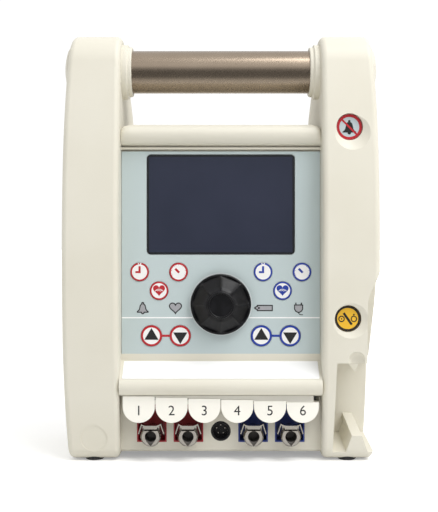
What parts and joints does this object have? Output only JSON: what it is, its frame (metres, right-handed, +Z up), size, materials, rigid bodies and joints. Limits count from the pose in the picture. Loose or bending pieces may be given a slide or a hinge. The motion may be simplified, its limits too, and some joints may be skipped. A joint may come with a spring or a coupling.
{
  "type": "pneumatic tourniquet system",
  "caption": "Upright pneumatic tourniquet controller with side columns, tube handle, display, keys, knob, colour-coded hose ports, pull-out cards and a pole clamp.",
  "frame": {"origin": "on the table, under the middle of the whole object's bounding box", "axes": "+X to the object's right as one faces it, +Y to its back, +Z up"},
  "size_m": [0.2416, 0.168, 0.3247],
  "materials": {
    "cream_shell": "fine matt moulded surface",
    "bronze_aluminium": "satin anodised",
    "sheet_steel": "zinc plated",
    "bare_steel": "satin",
    "black_rubber": "matt",
    "panel_film": "satin film",
    "dark_glass": "anti-glare",
    "white_film": "satin film",
    "black_plastic": "satin",
    "red_key": "satin film over the key",
    "blue_key": "satin film over the key",
    "circuit_board": "solder mask",
    "grey_button": "satin",
    "amber_button": "satin",
    "red_plastic": "satin",
    "blue_plastic": "satin",
    "nickel": "satin nickel plate",
    "card_plastic": "satin",
    "battery_case": "shrink sleeve",
    "pale_aluminium": "machined",
    "black_paint": "textured powder coat"
  },
  "bodies": {
    "frame": {"left_column": "cream_shell", "right_column": "cream_shell", "handle_tube": "bronze_aluminium", "handle_collars": "cream_shell", "handle_end_caps": "bronze_aluminium", "front_housing": "cream_shell", "rear_housing": "cream_shell", "chassis_frame": "sheet_steel", "rubber_feet": "black_rubber", "housing_screws": "bare_steel", "control_panel": "panel_film", "display_lens": "dark_glass", "display_module": "sheet_steel", "label_strip": "white_film", "rotary_encoder": "sheet_steel", "key_board": "circuit_board", "side_switches": "black_plastic", "red_port_inserts": "red_plastic", "blue_port_inserts": "blue_plastic", "coupling_1": "nickel", "coupling_2": "nickel", "coupling_3": "nickel", "coupling_4": "nickel", "sensor_socket": "black_plastic", "card_tray": "black_plastic", "main_board": "circuit_board", "power_supply": "sheet_steel", "battery_pack": "battery_case", "air_pump": "black_plastic", "valve_manifold": "pale_aluminium", "alarm_speaker": "black_plastic", "power_inlet": "black_plastic", "clamp_bracket": "black_paint"},
    "knob": {"control_knob": "black_plastic", "encoder_shaft": "bare_steel"},
    "silence_button": {"alarm_silence_button": "grey_button"},
    "standby_button_body": {"standby_button": "amber_button"},
    "clamp_slider": {"clamp_pad": "black_rubber"},
    "clamp_turner": {"clamp_screw": "bare_steel"},
    "left_time_key_body": {"left_time_key": "red_key"},
    "left_pressure_key_body": {"left_pressure_key": "red_key"},
    "left_pulse_key_body": {"left_pulse_key": "red_key"},
    "left_inflate_key_body": {"left_inflate_key": "red_key"},
    "left_deflate_key_body": {"left_deflate_key": "red_key"},
    "right_time_key_body": {"right_time_key": "blue_key"},
    "right_pressure_key_body": {"right_pressure_key": "blue_key"},
    "right_pulse_key_body": {"right_pulse_key": "blue_key"},
    "right_inflate_key_body": {"right_inflate_key": "blue_key"},
    "right_deflate_key_body": {"right_deflate_key": "blue_key"},
    "latch_1_body": {"latch_1": "nickel"},
    "latch_2_body": {"latch_2": "nickel"},
    "latch_3_body": {"latch_3": "nickel"},
    "latch_4_body": {"latch_4": "nickel"},
    "card_1_body": {"card_1": "card_plastic"},
    "card_2_body": {"card_2": "card_plastic"},
    "card_3_body": {"card_3": "card_plastic"},
    "card_4_body": {"card_4": "card_plastic"},
    "card_5_body": {"card_5": "card_plastic"},
    "card_6_body": {"card_6": "card_plastic"}
  },
  "joints": [
    {"name": "left_time_key_press", "type": "slide", "parent": "frame", "child": "left_time_key_body", "axis": [0, 1, 0], "range_m": [0, 0.0006], "stiffness_N_per_m": 300, "springref_m": -0.001},
    {"name": "left_pressure_key_press", "type": "slide", "parent": "frame", "child": "left_pressure_key_body", "axis": [0, 1, 0], "range_m": [0, 0.0006], "stiffness_N_per_m": 300, "springref_m": -0.001},
    {"name": "left_pulse_key_press", "type": "slide", "parent": "frame", "child": "left_pulse_key_body", "axis": [0, 1, 0], "range_m": [0, 0.0006], "stiffness_N_per_m": 300, "springref_m": -0.001},
    {"name": "left_inflate_key_press", "type": "slide", "parent": "frame", "child": "left_inflate_key_body", "axis": [0, 1, 0], "range_m": [0, 0.0006], "stiffness_N_per_m": 300, "springref_m": -0.001},
    {"name": "left_deflate_key_press", "type": "slide", "parent": "frame", "child": "left_deflate_key_body", "axis": [0, 1, 0], "range_m": [0, 0.0006], "stiffness_N_per_m": 300, "springref_m": -0.001},
    {"name": "right_time_key_press", "type": "slide", "parent": "frame", "child": "right_time_key_body", "axis": [0, 1, 0], "range_m": [0, 0.0006], "stiffness_N_per_m": 300, "springref_m": -0.001},
    {"name": "right_pressure_key_press", "type": "slide", "parent": "frame", "child": "right_pressure_key_body", "axis": [0, 1, 0], "range_m": [0, 0.0006], "stiffness_N_per_m": 300, "springref_m": -0.001},
    {"name": "right_pulse_key_press", "type": "slide", "parent": "frame", "child": "right_pulse_key_body", "axis": [0, 1, 0], "range_m": [0, 0.0006], "stiffness_N_per_m": 300, "springref_m": -0.001},
    {"name": "right_inflate_key_press", "type": "slide", "parent": "frame", "child": "right_inflate_key_body", "axis": [0, 1, 0], "range_m": [0, 0.0006], "stiffness_N_per_m": 300, "springref_m": -0.001},
    {"name": "right_deflate_key_press", "type": "slide", "parent": "frame", "child": "right_deflate_key_body", "axis": [0, 1, 0], "range_m": [0, 0.0006], "stiffness_N_per_m": 300, "springref_m": -0.001},
    {"name": "silence_press", "type": "slide", "parent": "frame", "child": "silence_button", "axis": [0, 1, 0], "range_m": [0, 0.0012], "stiffness_N_per_m": 300, "springref_m": -0.001},
    {"name": "standby_press", "type": "slide", "parent": "frame", "child": "standby_button_body", "axis": [0, 1, 0], "range_m": [0, 0.0012], "stiffness_N_per_m": 300, "springref_m": -0.001},
    {"name": "knob_turn", "type": "hinge", "parent": "frame", "child": "knob", "pos_m": [0, -0.0625, 0.1177], "axis": [0, -1, 0], "continuous": true},
    {"name": "latch_1_press", "type": "slide", "parent": "frame", "child": "latch_1_body", "axis": [0, 0, -1], "range_m": [0, 0.001], "stiffness_N_per_m": 300, "springref_m": -0.001},
    {"name": "latch_2_press", "type": "slide", "parent": "frame", "child": "latch_2_body", "axis": [0, 0, -1], "range_m": [0, 0.001], "stiffness_N_per_m": 300, "springref_m": -0.001},
    {"name": "latch_3_press", "type": "slide", "parent": "frame", "child": "latch_3_body", "axis": [0, 0, -1], "range_m": [0, 0.001], "stiffness_N_per_m": 300, "springref_m": -0.001},
    {"name": "latch_4_press", "type": "slide", "parent": "frame", "child": "latch_4_body", "axis": [0, 0, -1], "range_m": [0, 0.001], "stiffness_N_per_m": 300, "springref_m": -0.001},
    {"name": "card_1_slide", "type": "slide", "parent": "frame", "child": "card_1_body", "axis": [0, -1, 0], "range_m": [0, 0.08]},
    {"name": "card_2_slide", "type": "slide", "parent": "frame", "child": "card_2_body", "axis": [0, -1, 0], "range_m": [0, 0.08]},
    {"name": "card_3_slide", "type": "slide", "parent": "frame", "child": "card_3_body", "axis": [0, -1, 0], "range_m": [0, 0.08]},
    {"name": "card_4_slide", "type": "slide", "parent": "frame", "child": "card_4_body", "axis": [0, -1, 0], "range_m": [0, 0.08]},
    {"name": "card_5_slide", "type": "slide", "parent": "frame", "child": "card_5_body", "axis": [0, -1, 0], "range_m": [0, 0.08]},
    {"name": "card_6_slide", "type": "slide", "parent": "frame", "child": "card_6_body", "axis": [0, -1, 0], "range_m": [0, 0.08]},
    {"name": "clamp_slide", "type": "slide", "parent": "frame", "child": "clamp_slider", "axis": [-1, 0, 0], "range_m": [0, 0.018]},
    {"name": "clamp_turn", "type": "hinge", "parent": "clamp_slider", "child": "clamp_turner", "pos_m": [0.045, 0.064, 0.16], "axis": [-1, 0, 0], "range_deg": [0, 2160]}
  ],
  "couplings": [
    {"joint": "clamp_slide", "follows": "clamp_turn", "m_per_rad": 0.00047746}
  ]
}
